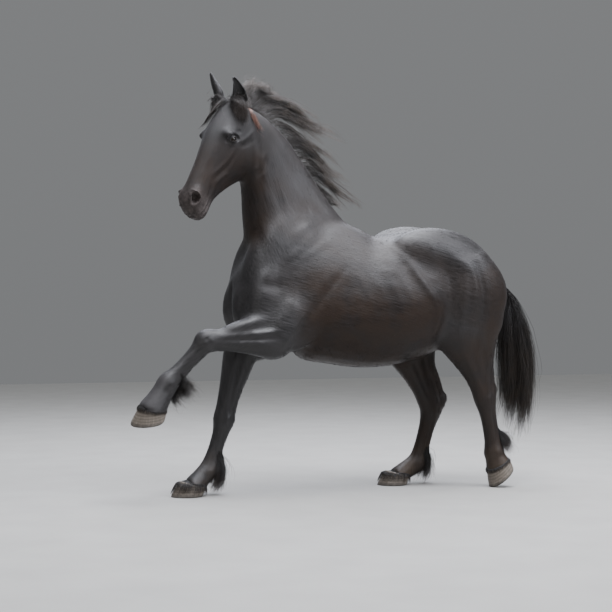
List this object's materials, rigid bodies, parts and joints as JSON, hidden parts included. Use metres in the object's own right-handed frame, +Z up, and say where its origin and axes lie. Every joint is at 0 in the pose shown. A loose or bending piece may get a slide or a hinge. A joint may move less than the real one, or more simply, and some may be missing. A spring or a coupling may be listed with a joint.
{
  "type": "friesian horse",
  "caption": "Life-size black Friesian horse in mid stride, one foreleg raised and bent, head turned to its left, long wavy mane and tail blown back and feathered lower legs.",
  "frame": {"origin": "on the ground plane under the middle of the bounding box", "axes": "+X towards the tail, so the horse faces -X; +Y towards the horse's right side; +Z up"},
  "size_m": [2.635, 0.639, 2.3821],
  "materials": {
    "coat": "short glossy black hair lying flat over living skin",
    "hair": "long wavy black hair in locks, tips bleached brown",
    "horn": "dull dusty hoof horn with fine growth rings",
    "eyeball": "wet dark brown eye"
  },
  "bodies": {
    "root": {"cannon_fore_left": "coat", "cannon_fore_right": "coat", "cannon_hind_left": "coat", "cannon_hind_right": "coat", "ear_left": "coat", "ear_right": "coat", "eye_left": "eyeball", "eye_right": "eyeball", "feather_fore_left": "hair", "feather_fore_right": "hair", "feather_hind_left": "hair", "feather_hind_right": "hair", "forearm_fore_left": "coat", "forearm_fore_right": "coat", "forelock": "hair", "gaskin_hind_left": "coat", "gaskin_hind_right": "coat", "head": "coat", "hoof_fore_left": "horn", "hoof_fore_right": "horn", "hoof_hind_left": "horn", "hoof_hind_right": "horn", "mane": "hair", "neck": "coat", "pastern_fore_left": "coat", "pastern_fore_right": "coat", "pastern_hind_left": "coat", "pastern_hind_right": "coat", "tail": "hair", "trunk": "coat"}
  },
  "joints": []
}
